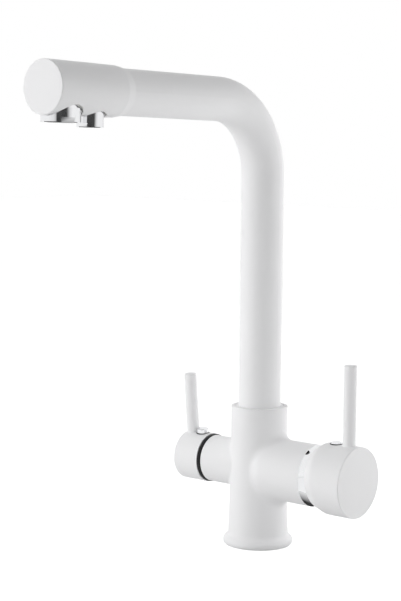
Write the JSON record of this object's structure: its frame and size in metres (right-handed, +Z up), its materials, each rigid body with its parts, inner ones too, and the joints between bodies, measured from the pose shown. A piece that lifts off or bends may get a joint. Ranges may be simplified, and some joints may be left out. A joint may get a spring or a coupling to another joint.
{
  "type": "three-way kitchen tap",
  "caption": "White kitchen tap with a swivel spout: a tilting lever mixes hot and cold, a second lever on the other side opens filtered water from its own outlet.",
  "frame": {"origin": "centre of the foot's underside, on the column's axis, at the mouth of the fixing stud hole", "axes": "+Z up along the column, -Y along the spout, +X towards the large mixer handle, -X towards the small filter handle"},
  "size_m": [0.159, 0.2526, 0.3525],
  "materials": {
    "white_paint": "matt powder coat",
    "chrome_trim": "polished",
    "black_trim": "satin black",
    "black_rubber": "matt",
    "bare_brass": "machined",
    "bare_steel": "plain",
    "ceramic": "lapped ceramic",
    "white_plastic": "moulded",
    "grey_plastic": "moulded"
  },
  "bodies": {
    "tap_body": {"body_casting": "white_paint", "deck_seal": "black_rubber", "spout_glide_ring": "white_plastic", "spout_retaining_screw": "bare_steel", "cartridge_base": "grey_plastic", "cartridge_seals": "black_rubber", "cartridge_housing": "grey_plastic", "fixed_ceramic_disc": "ceramic", "cartridge_nut": "bare_brass", "dome_ring": "chrome_trim", "filter_valve_body": "bare_brass", "filter_valve_washer": "black_rubber", "filter_fixed_disc": "ceramic", "filter_trim_ring": "black_trim"},
    "spout": {"spout_tube": "white_paint", "spout_collar": "white_paint", "spout_o_rings": "black_rubber", "inner_filter_tube": "white_plastic", "filter_tube_fitting": "bare_brass", "fitting_o_ring": "black_rubber", "water_divider": "white_plastic", "head_shell": "white_paint", "aerator_washer": "black_rubber", "aerator_insert": "white_plastic", "aerator_housing": "chrome_trim", "nozzle_washer": "black_rubber", "nozzle_insert": "white_plastic", "nozzle_housing": "chrome_trim"},
    "mixer_rotator": {"cartridge_rotator": "grey_plastic", "stem_pin": "bare_steel"},
    "mixer_disc": {"sliding_ceramic_disc": "ceramic", "disc_carrier": "grey_plastic"},
    "mixer_handle": {"mixer_stem": "bare_brass", "mixer_cap": "white_paint", "mixer_lever": "white_paint", "mixer_grub_screw": "bare_steel", "mixer_plug": "chrome_trim"},
    "filter_handle": {"filter_turning_disc": "ceramic", "filter_spindle": "bare_brass", "spindle_circlip": "bare_steel", "filter_cap": "white_paint", "filter_lever": "white_paint", "filter_grub_screw": "bare_steel", "filter_plug": "chrome_trim"}
  },
  "joints": [
    {"name": "spout_swivel", "type": "hinge", "parent": "tap_body", "child": "spout", "pos_m": [0, 0, 0.0946], "axis": [0, 0, 1], "continuous": true},
    {"name": "mixer_turn", "type": "hinge", "parent": "tap_body", "child": "mixer_rotator", "pos_m": [0.04356, 0, 0.0587], "axis": [1, 0, 0], "range_deg": [-45, 45]},
    {"name": "mixer_tilt", "type": "hinge", "parent": "mixer_rotator", "child": "mixer_handle", "pos_m": [0.04356, 0, 0.0587], "axis": [0, 1, 0], "range_deg": [0, 22]},
    {"name": "mixer_disc_slide", "type": "slide", "parent": "mixer_rotator", "child": "mixer_disc", "axis": [0, 0, 1], "range_m": [0, 0.0035]},
    {"name": "filter_turn", "type": "hinge", "parent": "tap_body", "child": "filter_handle", "pos_m": [-0.06, 0, 0.0587], "axis": [1, 0, 0], "range_deg": [0, 90]}
  ],
  "couplings": [
    {"joint": "mixer_disc_slide", "follows": "mixer_tilt", "m_per_rad": 0.008976}
  ]
}
